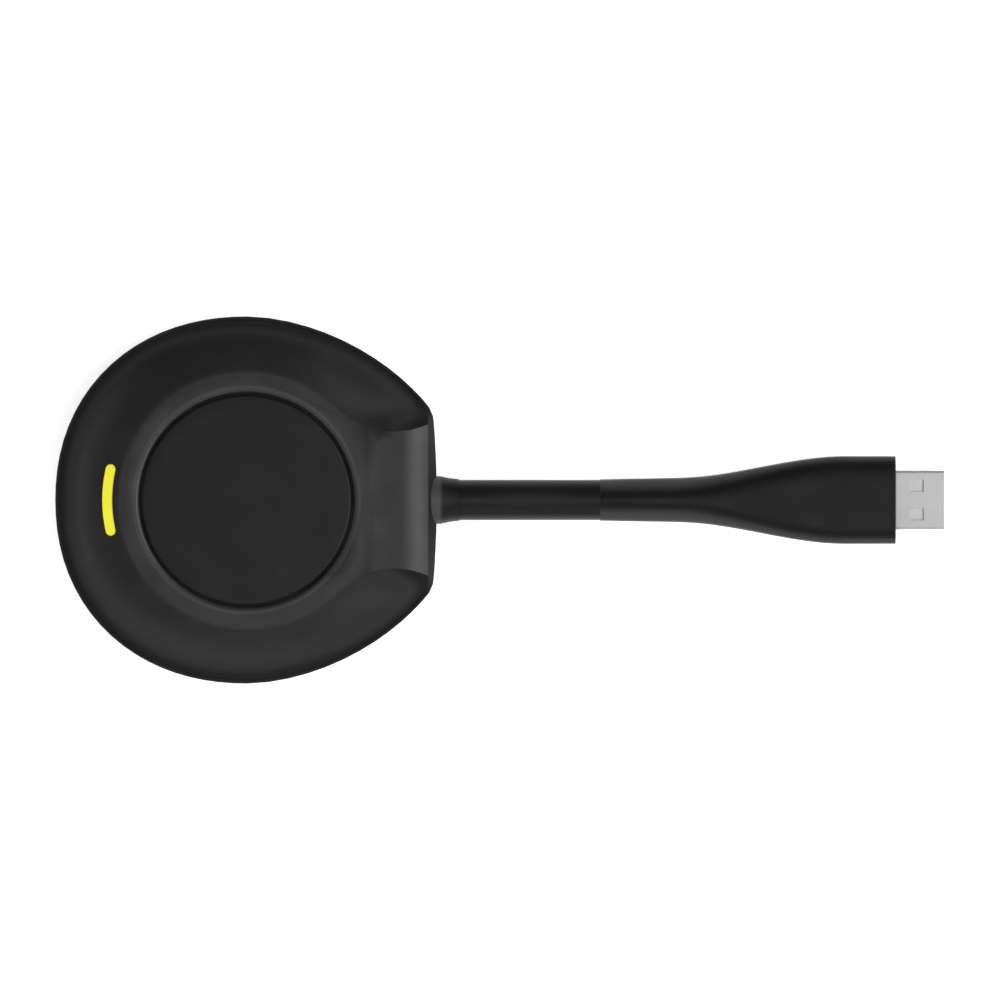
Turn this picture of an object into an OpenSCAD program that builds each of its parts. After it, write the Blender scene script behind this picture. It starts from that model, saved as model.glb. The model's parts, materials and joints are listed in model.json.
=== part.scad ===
// Wireless presentation dongle: a round puck with one large press button, a light bar,
// and a short captive lead that ends in a flat moulded plug.
// Millimetres. The button's axis is Z, the lead leaves along +X, and the puck rests on Z = 0.

/* [Housing] */
// Half of the housing's width, across the lead
half_width = 37.4; // [36.4:0.1:40]
// Reach of the rounded back from the button's axis
back_reach = 39.1; // [38:0.1:42]
// Reach that the flanks would have without the end face
flank_reach = 45; // [44:0.1:48]
// Place of the end face, where the lead leaves
nose_x = 38.6; // [38:0.1:40]
// How far the end face leans back to its upper edge
nose_lean = 1.7; // [1:0.1:2]
// Radius of the end face's slight bow
nose_bow_r = 214; // [160:2:400]
// Height of the flat ring round the button
plateau_z = 16.8; // [16.4:0.1:19]
// Width of that flat ring, from the button's bore outwards
plateau_w = 4; // [3.4:0.1:5]
// Height where the dome meets the upright rim
rim_z = 8.6; // [8.2:0.1:9.4]
// Height of the parting line between the covers
seam_z = 7; // [6.4:0.1:7.4]
// Shadow groove at the parting line
seam_groove = 0.3; // [0.2:0.05:0.6]
// Wall of the covers
wall = 1.8; // [1.5:0.1:2.2]
// Floor of the bottom cover
floor_t = 1.6; // [1.2:0.1:2]
// Draw-in of the underside from the outline
under_inset = 9; // [7:0.2:10]
// Radius of each thumb hollow beside the ridge
scallop_r = 17.3; // [15:0.1:19]

/* [Button] */
// Radius of the button's bore in the top cover
bore_r = 21.8; // [21:0.1:22.4]
// Gap all round the button
button_gap = 0.5; // [0.3:0.05:0.8]
// Travel of the button
travel = 0.6; // [0.3:0.05:0.8]
// How far the button's face lies below the flat ring
button_sink = 0.1; // [0:0.05:0.4]
// Thickness of the button's face
cap_t = 1.8; // [1.4:0.1:2]
// Rise of the button's crown at its centre
cap_crown = 0.25; // [0.1:0.05:0.5]
// Radius of each guide post under the button
post_r = 1.5; // [1.3:0.05:1.8]
// Circle that the guide posts stand on
post_ring_r = 15; // [13:0.5:16]
// Wire of the return springs
spring_wire = 0.4; // [0.3:0.05:0.45]

/* [Light bar] */
// Circle that the light bar follows
light_ring_r = 28.3; // [27.8:0.1:29]
// Width of the light bar
light_w = 1.9; // [1.4:0.1:2.2]
// Half of the light bar's angle, to the centre of its round end
light_half_deg = 12.7; // [8:0.1:18]

/* [Lead and plug] */
// Diameter of the lead
lead_d = 8.2; // [7.6:0.1:8.4]
// Wall of the gland round the lead
gland_wall = 0.8; // [0.6:0.05:0.9]
// Length of the gland outside the end face
gland_proud = 4.6; // [3:0.1:6]
// Where the moulded boot starts on the lead
boot_x = 71.8; // [71:0.1:76]
// Length of the moulded boot
boot_len = 60.3; // [56:0.1:64]
// Width of the boot at the plug
boot_w = 17.9; // [16:0.1:20]
// Wall of the boot where it feathers out on the lead
boot_lip = 0.12; // [0.1:0.02:0.3]
// Width of the plug's shell
shell_w = 12; // [11.9:0.05:12.1]
// Height of the plug's shell
shell_h = 4.5; // [4.4:0.05:4.6]
// Sheet of the plug's shell
shell_t = 0.3; // [0.25:0.01:0.35]
// Length of shell that stands out of the boot
shell_out = 9.9; // [9:0.1:12]

/* [Board] */
// Radius of the main board
board_r = 31.5; // [31:0.1:32]
// Thickness of the main board
board_t = 1.2; // [0.8:0.1:1.4]
// Height of the board's posts above the floor
board_post_h = 3.2; // [3:0.1:3.4]
// Height of the press switch's case
switch_h = 3.4; // [3:0.1:3.6]

/* [Base and screws] */
// Radius of the rubber foot
foot_r = 24; // [20:0.5:26]
// How far the foot stands below the housing
foot_proud = 0.8; // [0.5:0.1:1.2]
// Depth of the foot's recess in the housing
foot_recess = 0.5; // [0.3:0.1:0.7]
// Circle of the four housing screws
boss_ring_r = 30; // [29.6:0.1:30.4]
// Radius of the screw bosses
boss_r = 2.75; // [2.5:0.05:3]
// Shank radius of the housing screws
housing_screw_r = 1.05; // [0.9:0.05:1.2]
// Shank radius of the small screws
small_screw_r = 0.8; // [0.6:0.05:0.9]

/* [Hidden] */

// One overrun for every cut that has to break through a face
overrun = 1;
// Clearance between pieces that are moulded or pushed on each other
snug_gap = 0.02;
// Clearance between a sliding post and its bore
slide_gap = 0.05;
// Clearance between pieces that are laid in place
laid_gap = 0.1;

// Shape of the housing. Powers of the outline's two halves: 2 would be an ellipse
back_power = 2.15;
flank_power = 1.8;
corner_power = 120;
// Direction of each thumb hollow's centre, where its circle touches the flat ring's
scallop_deg = 46.3;
shoulder_inset = 1;
dome_power = 2.2;
dome_slope_share = 0.27;
// Share of the dome's height that a thumb hollow takes away at its centre
scoop_share = 0.15;
// Power that crowds the mesh lines towards the ridge
flank_crowd_power = 1.4;
// How far the flat ring's edge and the ridge's flank reach out before they meet the dome,
// and the turn from the hollow's centre over which the one becomes the other
soft_edge = 2.4;
ridge_flank = 3.2;
ridge_turn_deg = 20;
// The ridge starts to roll down this far before its front edge
roll_len = 7.9;
roll_r = 14;
bore_edge_r = 0.9;
collar_t = 1.5;
lip_h = 1;
lip_t = 0.9;
lower_rim_drop = 0.6;
ridge_lines = 8;
flank_lines = 14;
back_lines = 20;
ring_shares = [0.06, 0.14, 0.25, 0.38, 0.52, 0.66, 0.8, 0.91, 1];
rim_shares = [0.4, 0.75, 0.93, 1];
bowl_shares = [0, 0.2, 0.4, 0.6, 0.8, 1];
inner_bowl_shares = [1, 0.66, 0.33, 0];
bowl_hip_share = 0.6;
// Points of the outer section that the inner one follows, counted back from the skirt
inner_steps = [0, 1, 4, 6, 8, 11];

// Heights, from the resting plane up
base_z = foot_proud;
floor_z = base_z + floor_t;
board_z = floor_z + board_post_h;
board_top = board_z + board_t;
under_frame_gap = 0.4;
frame_z = board_top + switch_h + under_frame_gap;
frame_t = 1.4;
frame_top = frame_z + frame_t;
cap_top = plateau_z - button_sink;
cap_under = cap_top - cap_t;

// Button
plateau_r = bore_r + plateau_w;
button_r = bore_r - button_gap;
collar_r = bore_r + collar_t;
skirt_t = 1.2;
skirt_clear = 0.15;
skirt_z = frame_top + travel + skirt_clear;
cap_edge_r = 0.5;
cap_rib_w = 1;
cap_rib_h = 1;
cap_rib_ring_r = 8;
post_clear = 0.1;
post_end = frame_z - post_clear;
post_degs = [60, 180, 300];
stop_head_r = 2.1;
stop_head_h = 0.9;
stop_shank = 2.4;
boss_pad_r = 2.5;
touch_gap = 0.05;

// Return springs, round the posts between the frame and the button
spring_r = post_r + slide_gap + spring_wire;
spring_turns = 4;
spring_flat_turns = 1;
spring_lay_share = 1.05;
spring_steps = 10;
spring_sides = 6;

// Frame
frame_tab_r = 2.6;
frame_tab_x = collar_r + frame_tab_r / 2;
frame_degs = [0, 120, 240];
frame_window_r = 4.5;
frame_window_x = 12;
frame_head_r = 1.8;
frame_head_h = 1.1;
frame_shank = 3.4;
frame_lug_h = 3.6;
frame_lug_r = 2.4;

// Press switch
switch_w = 6.2;
switch_floor = 0.8;
stem_r = 1.7;
stem_proud = 1.4;
stem_rest_gap = 0.2;
switch_top = board_top + switch_h;
stem_top = switch_top + stem_proud;
switch_lid_t = 0.3;
switch_lid_out = 0.15;

// Light bar
lamp_h = 1;
lamp_l = 3;
lamp_w = 1.6;
lamp_degs = [-8, 0, 8];
lamp_gap = 0.2;
slot_gap = 0.12;
flange_out = 0.9;
flange_t = 0.8;
flange_end_share = 1.3;
shroud_gap = 0.25;
shroud_t = 1.1;
light_z = board_top + lamp_h + lamp_gap;

// Board and what stands on it. Its posts lie inside the circle of the housing screws
boss_degs = [58, 132, 228, 302];
boss_clear = 0.8;
board_post_r = 2.5;
board_post_degs = [27.7, 136.6, 223.4];
board_post_insets = [6.28, 5.27, 5.27];
board_posts = [
    for (k = [0 : len(board_post_degs) - 1])
        ray(boss_ring_r - board_post_insets[k], board_post_degs[k])
];
small_head_r = 1.7;
small_head_h = 1.1;
board_shank = 2.4;
pilot_spare = 0.4;
board_nose_cut_w = 18;
chip_w = 14;
chip_h = 1.3;
spreader_l = 34;
spreader_w = 28;
spreader_t = 0.8;
spreader_corner = 4;
radio_l = 14;
radio_w = 18;
radio_board_t = 0.6;
radio_can_h = 1.3;
radio_rim = 0.8;
// Room between the radio module and the wall round the lamps
radio_gap = 2.5;
radio_at = [radio_gap + light_w / 2 + shroud_gap + shroud_t - light_ring_r, -radio_w / 2];
shield_l = 16;
shield_w = 9;
shield_h = 1.7;
shield_y_share = 0.476;
shield_at = [-shield_l / 2, shield_y_share * board_r];
can_dimple_r = 1.2;
can_dimple_depth = 0.25;
memory_l = 8;
memory_w = 9;
memory_h = 1;
memory_gap = 2;
memory_y_share = -0.762;
memory_at = [-memory_l - memory_gap / 2, memory_y_share * board_r];
coil_r = 2.4;
coil_core_r = 1.6;
coil_h = 2;
coil_lip = 0.5;
// Room between a coil and the memory chip beside it, and the coils' share of the screws' circle
coil_gap = 1.6;
coil_y_share = 0.6;
coil_x = memory_l + memory_gap / 2 + coil_gap + coil_r;
coils_at = [for (side = [-1, 1]) [coil_x, side * coil_y_share * boss_ring_r]];
antenna_inset = 1.9;
antenna_ring_r = board_r - antenna_inset;
antenna_t = 0.4;
antenna_half_deg = 18;
// Share of the room over the board that the antennas take
antenna_room_share = 0.59;
antenna_band_h = 1.5;
antenna_leg_deg = 3;
header_x = 14.5;
header_l = 5.5;
header_w = 10;
header_h = 2.8;
header_wall = 0.6;
mouth_w = header_w - 2 * header_wall;
wire_plug_in = 3.2;
wire_plug_x = header_x + header_l - wire_plug_in;
wire_plug_l = 7;
wire_plug_h = 1.9;
wire_r = 0.5;
wire_pitch = 1.7;
wires = 4;

// Foot
foot_groove_r = 17;
foot_groove_w = 1;
foot_groove_depth = 0.35;
foot_grooves = 3;

// Screws
housing_head_r = 1.9;
housing_head_h = 1.3;
housing_head_deep = 1.3;
housing_shank = 7;
slot_depth_share = 0.45;
slot_w_share = 0.3;
slot_l_share = 1.3;

// Lead: the height at which it leaves, and its route in X and Z, straight out of the
// gland, down to the table under its own weight, and straight into the boot
lead_r = lead_d / 2;
lead_sides = 12;
lead_route = [
    [32, 7.7], [38, 7.7], [43, 7.7], [46, 7.6], [49, 7.4], [52, 7], [55, 6.5], [58, 5.9],
    [61, 5.4], [64, 4.9], [67, 4.6], [70, 4.5], [76, 4.5], [84, 4.5], [93, 4.5]
];
lead_from_x = lead_route[0].x;
lead_z = lead_route[0].y;
lead_to_x = lead_route[len(lead_route) - 1].x;
boot_z = lead_route[len(lead_route) - 1].y;

// Gland
gland_r = lead_r + gland_wall;
gland_flange_out = 0.34;
gland_flange_r = gland_r + gland_flange_out;
gland_flange_t = 1.6;
gland_flange_x = nose_x - nose_lean - wall - gland_flange_t - laid_gap;
gland_collar = 0.8;
gland_feather = 0.15;
// Share of the tapered length, and of the wall that is left there
gland_taper_shares = [[0, 1], [0.15, 0.75], [0.5, 0.35], [1, 0]];

// Boot
boot_h = 2 * boot_z;
boot_end_x = boot_x + boot_len;
boot_station_shares = [
    0, 0.08, 0.16, 0.24, 0.3, 0.36, 0.42, 0.48, 0.54, 0.6, 0.66, 0.72, 0.78, 0.85, 0.93
];
boot_sides = 36;
boot_edge = 0.4;
boot_edge_share = 0.3;
boot_pocket_w_share = 0.8;
boot_pocket_h_share = 0.35;
boot_round_power = 2;
boot_flat_power = 5;
creep_share = 0.07;
creep_end_share = 0.3;
flare_from_share = 0.26;
flare_share = 0.57;

// Plug
shell_in = 7.5;
shell_corner = 0.5;
shell_x = boot_end_x - shell_in;
tip_x = boot_end_x + shell_out;
mould_wall = 1.1;
mould_l = 20;
mould_cover = 1.5;
mould_x = boot_end_x - mould_cover - mould_l;
mould_rib = 0.6;
mould_ribs = 3;
window_l = 2.9;
window_w = 2.5;
window_y = 2.9;
window_in = 5.6;
window_x = tip_x - window_in;
tongue_t = 1.9;
tongue_back = 1.1;
tongue_side_gap = 0.2;
contact_w = 1;
contact_t = 0.15;
contact_long = 7.4;
contact_short = 6.4;
// Places across half of the shell's width
contact_shares = [-0.583, -0.167, 0.167, 0.583];

fine = 96;
medium = 48;

// Shares and curves

function mix(a, b, share) = a + (b - a) * share;
function ray(r, a) = r * [cos(a), sin(a)];
function smooth_share(v) =
    let (share = min(1, max(0, v)))
    share * share * (3 - 2 * share);
// The smaller of two reaches, rounded where they cross
function soft_min(a, b) = a * pow(1 + pow(a / b, corner_power), -1 / corner_power);

// Outline of the housing, seen from above, as a reach in each direction

nose_edge_x = nose_x - nose_lean;
nose_centre_x = nose_x - nose_bow_r;
function flank_at(a) =
    let (reach = cos(a) < 0 ? back_reach : flank_reach)
    let (power = cos(a) < 0 ? back_power : flank_power)
    pow(pow(abs(cos(a)) / reach, power) + pow(abs(sin(a)) / half_width, power), -1 / power);
function nose_at(a) =
    nose_centre_x * cos(a) + sqrt(pow(nose_bow_r, 2) - pow(nose_centre_x * sin(a), 2));
function outline_at(a) = soft_min(flank_at(a), nose_at(a));
// The shoulder is the line where the dome turns over into the rim, or the end face starts
function shoulder_at(a) =
    let (flank = flank_at(a) - shoulder_inset)
    cos(a) > 0 ? soft_min(flank, nose_edge_x / cos(a)) : flank;

// The crease is the ridge's edge along a thumb hollow: an arc of the hollow's circle, from
// the flat ring to the end face. The mesh lines follow it, so that the edge stays crisp

scallop_centre = ray(plateau_r + scallop_r, scallop_deg);
crease_end_y = scallop_centre.y - sqrt(pow(scallop_r, 2) - pow(nose_edge_x - scallop_centre.x, 2));
crease_end_deg = atan2(crease_end_y, nose_edge_x);
crease_from_deg = scallop_deg - 180;
crease_to_deg = atan2(crease_end_y - scallop_centre.y, nose_edge_x - scallop_centre.x);
function crease(share) = scallop_centre + ray(scallop_r, mix(crease_from_deg, crease_to_deg, share));

// Lines from the flat ring out to the shoulder: along the ridge, past the hollow, round the back

function ridge_point(k, share) =
    let (side = k / ridge_lines)
    let (a = side * scallop_deg)
    let (c = crease(share))
    let (step = (c.x - crease(0).x) / (nose_edge_x - crease(0).x))
    [
        mix(plateau_r * cos(a), nose_edge_x, step),
        c.y * mix(sin(a) / sin(scallop_deg), side, share)
    ];
function flank_point(k, share) =
    let (side = k / flank_lines)
    let (a = mix(crease_end_deg, 90, pow(side, flank_crowd_power)))
    let (from = ray(plateau_r, mix(scallop_deg, 90, side)))
    let (to = ray(shoulder_at(a), a))
    let (straight = mix(crease(0), ray(shoulder_at(crease_end_deg), crease_end_deg), share))
    mix(from, to, share) + (crease(share) - straight) * pow(1 - side, 2);
function back_point(k, share) =
    let (a = 90 + 90 * k / back_lines)
    ray(mix(plateau_r, shoulder_at(a), share), a);
half_lines = ridge_lines + flank_lines + back_lines;
function line_point(i, share) =
    i < ridge_lines ? ridge_point(i, share)
    : i <= ridge_lines + flank_lines ? flank_point(i - ridge_lines, share)
    : back_point(i - ridge_lines - flank_lines, share);
function line_deg(i) =
    let (end = line_point(i, 1))
    atan2(end.y, end.x);

// Height of the top cover over any point of the plan

function past_plateau(p) =
    abs(atan2(p.y, p.x)) > scallop_deg
    ? max(0, norm(p) - plateau_r)
    : norm(p) < plateau_r ? 0 : max(0, scallop_r - norm([p.x, abs(p.y)] - scallop_centre));
function ridge_share(p) =
    let (turn = scallop_deg - abs(atan2(p.y, p.x)))
    let (reach = mix(soft_edge, ridge_flank, smooth_share(turn / ridge_turn_deg)))
    pow(max(0, 1 - past_plateau(p) / reach), 2);
function roll_at(x) =
    let (over = max(0, min(x, nose_edge_x) - nose_edge_x + roll_len))
    roll_r - sqrt(pow(roll_r, 2) - pow(over, 2));
function ridge_z(p) =
    let (a = atan2(p.y, p.x))
    let (down = (norm(p) - shoulder_at(a)) / (outline_at(a) - shoulder_at(a)))
    mix(plateau_z - roll_at(p.x), rim_z, min(1, max(0, down)));
function dome_z(p) =
    let (out = (norm(p) - plateau_r) / (outline_at(atan2(p.y, p.x)) - plateau_r))
    let (t = min(1, max(0, out)))
    let (arch = 1 - sqrt(max(0, 1 - pow(t, dome_power))))
    let (fall = mix(arch, t, dome_slope_share))
    let (far = norm([p.x, abs(p.y)] - scallop_centre) / scallop_r)
    let (hollow = pow(max(0, 1 - far * far), 2))
    mix(rim_z, plateau_z, (1 - fall) * (1 - scoop_share * hollow));
function cover_z(p) = mix(dome_z(p), ridge_z(p), ridge_share(p));
function cover_point(p) = [p.x, p.y, cover_z(p)];

// The inside follows the outside, drawn in by the wall
function wall_share(a) = 1 - wall / outline_at(a);
wall_z_share = 1 - wall / (plateau_z - seam_z);
function inward(p, a) = [p.x * wall_share(a), p.y * wall_share(a), mix(seam_z, p.z, wall_z_share)];
function ceiling_z(p) = mix(seam_z, cover_z(p / wall_share(atan2(p.y, p.x))), wall_z_share);

// Each line's section of the top cover, outside first and then back along the inside
function cover_line(i) =
    let (start = line_point(i, 0))
    let (end = line_point(i, 1))
    let (a = line_deg(i))
    let (edge = ray(outline_at(a), a))
    let (skirt = [edge.x, edge.y, seam_z])
    let (outer = concat(
        [cover_point(start * (bore_r - overrun) / plateau_r), cover_point(start)],
        [for (share = ring_shares) cover_point(line_point(i, share))],
        [for (share = rim_shares) cover_point(mix(end, edge, share))],
        [skirt]
    ))
    let (last = len(outer) - 1)
    let (inner = [for (back = inner_steps) inward(outer[last - back], a)])
    concat(outer, inner, [inward(outer[0], a)]);

// Each line's section of the bottom cover, from the underside up, over the lip and down inside
function bowl_line(i) =
    let (a = line_deg(i))
    let (reach = outline_at(a))
    let (lower_rim = seam_z - seam_groove - lower_rim_drop)
    let (lip_out = reach - wall - laid_gap)
    let (lip_in = lip_out - lip_t)
    let (hip = mix(floor_z, lower_rim, bowl_hip_share))
    concat(
        [for (share = bowl_shares)
            let (r = reach - under_inset * (1 - sin(90 * share)))
            [r * cos(a), r * sin(a), mix(base_z, lower_rim, 1 - cos(90 * share))]],
        [for (rz = [
            [reach, seam_z - seam_groove], [lip_out, seam_z - seam_groove],
            [lip_out, seam_z + lip_h], [lip_in, seam_z + lip_h]
        ]) [rz.x * cos(a), rz.x * sin(a), rz.y]],
        [for (share = inner_bowl_shares)
            let (r = lip_in - (under_inset - wall) * (1 - sin(90 * share)))
            [r * cos(a), r * sin(a), mix(floor_z, hip, 1 - cos(90 * share))]]
    );

function flip(line) = [for (p = line) [p.x, -p.y, p.z]];
function both_sides(half) = concat(half, [for (i = [half_lines - 1 : -1 : 1]) flip(half[i])]);

// A closed band: every line is one loop round the section
module band(lines) {
    n = len(lines);
    m = len(lines[0]);
    faces = [
        for (i = [0 : n - 1]) for (j = [0 : m - 1])
            let (next = (i + 1) % n)
            let (up = (j + 1) % m)
            each [[i * m + j, next * m + j, i * m + up], [next * m + j, next * m + up, i * m + up]]
    ];
    polyhedron([for (line = lines) each line], faces);
}

// A closed skin: every line runs from the lower cap to the upper one
module capped(lines) {
    n = len(lines);
    m = len(lines[0]);
    faces = [
        for (i = [0 : n - 1]) for (j = [0 : m - 2])
            let (next = (i + 1) % n)
            each [
                [i * m + j, i * m + j + 1, next * m + j],
                [next * m + j, i * m + j + 1, next * m + j + 1]
            ]
    ];
    low = [for (i = [0 : n - 1]) i * m];
    high = [for (i = [n - 1 : -1 : 0]) i * m + m - 1];
    polyhedron([for (line = lines) each line], concat(faces, [low, high]));
}

// Common shapes

module at_degs(degs, r) {
    for (a = degs) rotate([0, 0, a]) translate([r, 0, 0]) children();
}
module along_x(r, from, to, z, sides = medium) {
    translate([from, 0, z]) rotate([0, 90, 0]) cylinder(r = r, h = to - from, $fn = sides);
}
module block(from, to) {
    translate(from) cube(to - from);
}
// Rounded rectangle in the plan, exact at its corners
module round_rect(l, w, r) {
    square([l - 2 * r, w], center = true);
    square([l, w - 2 * r], center = true);
    for (x = [-1, 1]) for (y = [-1, 1])
        translate([x * (l / 2 - r), y * (w / 2 - r)]) circle(r, $fn = medium);
}
// Bar along the light ring with round ends, wider than the light bar by out on every side
module light_bar(z, h, out) {
    half = light_w / 2 + out;
    translate([0, 0, z]) {
        rotate([0, 0, 180 - light_half_deg])
            rotate_extrude(angle = 2 * light_half_deg, $fn = fine)
                translate([light_ring_r - half, 0]) square([2 * half, h]);
        at_degs([180 - light_half_deg, 180 + light_half_deg], light_ring_r)
            cylinder(r = half, h = h, $fn = medium);
    }
}
// Pan-head screw, head down, with the head's face at z and a cross recess
module screw(z, head_r, head_h, shank_r, shank) {
    translate([0, 0, z]) difference() {
        union() {
            cylinder(r = head_r, h = head_h, $fn = medium);
            cylinder(r = shank_r, h = head_h + shank, $fn = medium);
        }
        cross_recess(head_r, head_h);
    }
}
// The same screw, head up, with the head's seat at z
module screw_down(z, head_r, head_h, shank_r, shank) {
    translate([0, 0, z + head_h]) mirror([0, 0, 1]) screw(0, head_r, head_h, shank_r, shank);
}
module cross_recess(head_r, head_h) {
    depth = slot_depth_share * head_h;
    for (a = [0, 90]) rotate([0, 0, a])
        translate([-slot_l_share * head_r / 2, -slot_w_share * head_r / 2, -overrun])
            cube([slot_l_share * head_r, slot_w_share * head_r, overrun + depth]);
}
// Passage for the gland through the end face of both covers, with the slot for its flange
module gland_way() {
    along_x(gland_r + slide_gap, gland_flange_x, nose_x + overrun, lead_z, fine);
    along_x(
        gland_flange_r + laid_gap,
        gland_flange_x - laid_gap, gland_flange_x + gland_flange_t + laid_gap, lead_z, fine
    );
}

// Housing

module bottom_cover() {
    color("#202022") difference() {
        union() {
            difference() {
                capped(both_sides([for (i = [0 : half_lines]) bowl_line(i)]));
                board_room();
            }
            at_degs(boss_degs, boss_ring_r)
                translate([0, 0, floor_z - floor_t / 2])
                    cylinder(r = boss_r, h = seam_z - floor_z + floor_t / 2, $fn = medium);
            for (p = board_posts) translate([p.x, p.y, floor_z - floor_t / 2])
                cylinder(r = board_post_r, h = board_post_h + floor_t / 2, $fn = medium);
        }
        gland_way();
        translate([0, 0, base_z - overrun])
            cylinder(r = foot_r + laid_gap, h = overrun + foot_recess, $fn = fine);
        at_degs(boss_degs, boss_ring_r) {
            cylinder(r = housing_screw_r + laid_gap, h = seam_z + overrun, $fn = medium);
            cylinder(
                r = housing_head_r + laid_gap,
                h = base_z + housing_head_deep + housing_head_h, $fn = medium
            );
        }
        for (p = board_posts) translate([p.x, p.y, board_z - board_shank - pilot_spare])
            cylinder(r = small_screw_r + snug_gap, h = board_shank + pilot_spare + overrun, $fn = medium);
    }
}

// The board drops in from above, clear of the cover's wall and lip
module board_room() {
    translate([0, 0, board_z - laid_gap])
        cylinder(r = board_r + laid_gap, h = seam_z + lip_h + overrun - board_z, $fn = fine);
}

module top_cover() {
    color("#2b2b2d") difference() {
        union() {
            band(both_sides([for (i = [0 : half_lines]) cover_line(i)]));
            translate([0, 0, frame_top])
                cylinder(r = collar_r, h = plateau_z - wall / 2 - frame_top, $fn = fine);
            at_degs(boss_degs, boss_ring_r)
                translate([0, 0, seam_z])
                    cylinder(r = boss_r, h = boss_top_z() - seam_z, $fn = medium);
            at_degs(frame_degs, frame_tab_x)
                translate([0, 0, frame_top]) cylinder(r = frame_lug_r, h = frame_lug_h, $fn = medium);
        }
        translate([0, 0, seam_z]) cylinder(r = bore_r, h = plateau_z, $fn = fine);
        bore_edge();
        light_bar(light_z, plateau_z, slot_gap);
        gland_way();
        at_degs(boss_degs, boss_ring_r)
            translate([0, 0, seam_z - overrun])
                cylinder(
                    r = housing_screw_r + snug_gap,
                    h = overrun + screw_reach() + pilot_spare, $fn = medium
                );
        at_degs(frame_degs, frame_tab_x)
            translate([0, 0, frame_top - overrun])
                cylinder(
                    r = small_screw_r + snug_gap,
                    h = overrun + frame_shank - frame_t + pilot_spare, $fn = medium
                );
    }
}
// The bosses end inside the cover's wall
function boss_top_z() = min([for (a = boss_degs) cover_z(ray(boss_ring_r + boss_r, a))]) - wall / 2;
// How far a housing screw reaches above the parting line
function screw_reach() = base_z + housing_head_deep + housing_head_h + housing_shank - seam_z;
// Rounded edge at the mouth of the button's bore
module bore_edge() {
    rotate_extrude($fn = fine) difference() {
        translate([bore_r - overrun, plateau_z - bore_edge_r])
            square([bore_edge_r + overrun, bore_edge_r + overrun]);
        translate([bore_r + bore_edge_r, plateau_z - bore_edge_r]) circle(bore_edge_r, $fn = fine);
    }
}

module base_foot() {
    color("#161617") difference() {
        cylinder(r = foot_r, h = foot_proud + foot_recess, $fn = fine);
        for (k = [0 : foot_grooves - 1]) foot_groove(foot_groove_r + 2 * k * foot_groove_w);
    }
}
module foot_groove(r) {
    translate([0, 0, -overrun]) difference() {
        cylinder(r = r + foot_groove_w, h = overrun + foot_groove_depth, $fn = fine);
        translate([0, 0, -overrun]) cylinder(r = r, h = 3 * overrun + foot_groove_depth, $fn = fine);
    }
}

module housing_screws() {
    color("#8d8f92") at_degs(boss_degs, boss_ring_r)
        screw(
            base_z + housing_head_deep, housing_head_r, housing_head_h,
            housing_screw_r, housing_shank
        );
}

// Button

module button_cap() {
    color("#2e2e31") difference() {
        union() {
            cap_shell();
            at_degs(post_degs, post_ring_r)
                translate([0, 0, post_end])
                    cylinder(r = post_r, h = cap_under - post_end + cap_t / 2, $fn = medium);
            translate([0, 0, stem_top + touch_gap])
                cylinder(r = boss_pad_r, h = cap_under - stem_top, $fn = medium);
            cap_ribs();
        }
        at_degs(post_degs, post_ring_r)
            translate([0, 0, post_end - overrun])
                cylinder(r = small_screw_r + snug_gap, h = overrun + stop_shank + pilot_spare, $fn = medium);
    }
}
// Crowned face with a rolled edge and a skirt, as one revolved section
module cap_shell() {
    flat_r = button_r - cap_edge_r;
    steps = 8;
    crown = [
        for (k = [0 : steps])
            let (share = k / steps)
            [share * flat_r, cap_top + cap_crown * (1 - share * share)]
    ];
    edge = [
        for (a = [75 : -15 : 0])
            [flat_r + cap_edge_r * cos(a), cap_top - cap_edge_r * (1 - sin(a))]
    ];
    rotate_extrude($fn = fine) polygon(concat(crown, edge, [
        [button_r, skirt_z], [button_r - skirt_t, skirt_z],
        [button_r - skirt_t, cap_under], [0, cap_under]
    ]));
}
module cap_ribs() {
    difference() {
        union() {
            translate([0, 0, cap_under - cap_rib_h])
                cylinder(r = cap_rib_ring_r + cap_rib_w, h = cap_rib_h + cap_t / 2, $fn = fine);
            for (a = frame_degs) rotate([0, 0, a])
                translate([0, -cap_rib_w / 2, cap_under - cap_rib_h])
                    cube([button_r - skirt_t / 2, cap_rib_w, cap_rib_h + cap_t / 2]);
        }
        translate([0, 0, cap_under - cap_rib_h - overrun])
            cylinder(r = cap_rib_ring_r, h = cap_rib_h + overrun, $fn = fine);
    }
}

module stop_screws() {
    color("#8d8f92") at_degs(post_degs, post_ring_r)
        screw(post_end - stop_head_h, stop_head_r, stop_head_h, small_screw_r, stop_shank);
}

module button_frame() {
    color("#3a3a3d") translate([0, 0, frame_z]) difference() {
        union() {
            cylinder(r = collar_r, h = frame_t, $fn = fine);
            at_degs(frame_degs, frame_tab_x) cylinder(r = frame_tab_r, h = frame_t, $fn = medium);
        }
        translate([0, 0, -overrun]) {
            cylinder(r = boss_pad_r + stem_proud, h = frame_t + 2 * overrun, $fn = medium);
            at_degs(frame_degs, frame_window_x)
                cylinder(r = frame_window_r, h = frame_t + 2 * overrun, $fn = medium);
            at_degs(post_degs, post_ring_r)
                cylinder(r = post_r + slide_gap, h = frame_t + 2 * overrun, $fn = medium);
            at_degs(frame_degs, frame_tab_x)
                cylinder(r = small_screw_r + laid_gap, h = frame_t + 2 * overrun, $fn = medium);
            at_degs(boss_degs, boss_ring_r)
                cylinder(r = boss_r + laid_gap, h = frame_t + 2 * overrun, $fn = medium);
        }
    }
}

module frame_screws() {
    color("#8d8f92") at_degs(frame_degs, frame_tab_x)
        screw(frame_z - frame_head_h, frame_head_r, frame_head_h, small_screw_r, frame_shank);
}

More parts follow.
